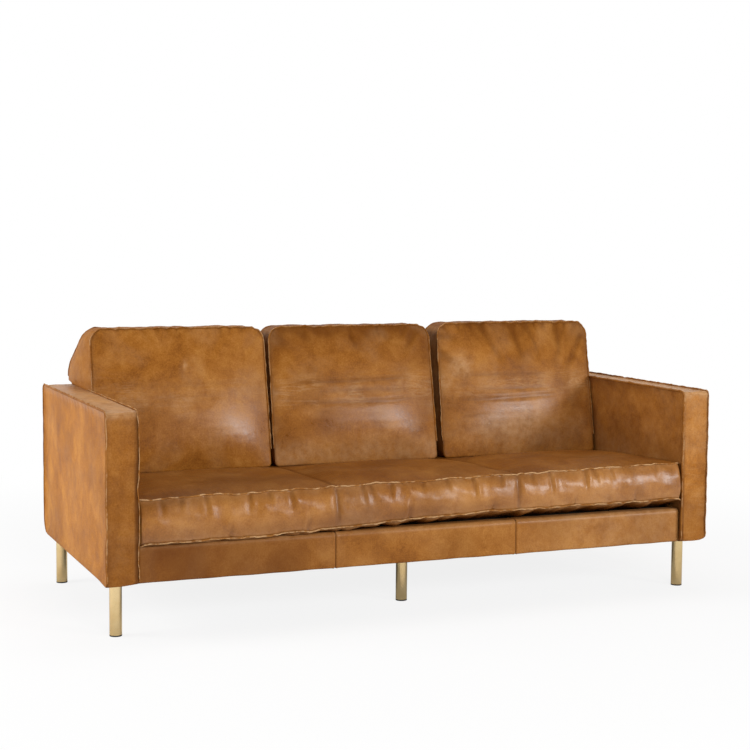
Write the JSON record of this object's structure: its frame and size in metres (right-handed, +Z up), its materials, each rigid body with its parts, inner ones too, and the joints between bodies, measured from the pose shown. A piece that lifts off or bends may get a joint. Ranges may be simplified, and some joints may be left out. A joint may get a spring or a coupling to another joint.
{
  "type": "leather sofa",
  "caption": "Worn tan leather sofa with slab arms, one long sectioned seat cushion, slumped loose back cushions, raised raw seams and slim brass tube legs.",
  "frame": {"origin": "on the floor, at the centre of the sofa's bounding box seen from above", "axes": "+X to the right of someone facing the sofa's front, +Y from the front to the back, +Z up"},
  "size_m": [2.1, 0.95, 0.9],
  "materials": {
    "leather": "worn, waxy, semi-gloss",
    "brass": "satin",
    "glide": "moulded",
    "timber": "sawn, unfinished",
    "plywood": "unfinished sheet",
    "foam": "upholstery foam and wadding",
    "webbing": "woven elastic",
    "deck_cloth": "plain woven",
    "dust_cloth": "non-woven"
  },
  "bodies": {
    "root": {"leg_front_left": "brass", "glide_front_left": "glide", "leg_front_right": "brass", "glide_front_right": "glide", "leg_back_left": "brass", "glide_back_left": "glide", "leg_back_right": "brass", "glide_back_right": "glide", "leg_centre": "brass", "glide_centre": "glide", "arm_cover_left": "leather", "arm_foam_left": "foam", "arm_panel_left": "plywood", "arm_bottom_rail_left": "timber", "arm_top_rail_left": "timber", "arm_front_post_left": "timber", "arm_rear_post_left": "timber", "arm_cover_right": "leather", "arm_foam_right": "foam", "arm_panel_right": "plywood", "arm_bottom_rail_right": "timber", "arm_top_rail_right": "timber", "arm_front_post_right": "timber", "arm_rear_post_right": "timber", "seat_rail_front": "timber", "seat_rail_rear": "timber", "seat_rail_left": "timber", "seat_rail_right": "timber", "seat_rail_centre": "timber", "seat_web_1": "webbing", "seat_web_2": "webbing", "seat_web_3": "webbing", "seat_web_4": "webbing", "seat_web_5": "webbing", "seat_web_6": "webbing", "seat_web_7": "webbing", "seat_web_8": "webbing", "seat_web_9": "webbing", "back_upright_1": "plywood", "back_upright_2": "plywood", "back_upright_3": "plywood", "back_upright_4": "plywood", "back_top_rail": "timber", "back_panel": "plywood", "back_web_1": "webbing", "back_web_2": "webbing", "back_web_3": "webbing", "back_foam": "foam", "back_cover": "leather", "rail_cover": "leather", "seat_deck": "deck_cloth", "dust_cover": "dust_cloth", "seat_cushion_cover": "leather", "seat_cushion_core": "foam", "back_cushion_cover_left": "leather", "back_cushion_core_left": "foam", "back_cushion_cover_centre": "leather", "back_cushion_core_centre": "foam", "back_cushion_cover_right": "leather", "back_cushion_core_right": "foam"}
  },
  "joints": []
}
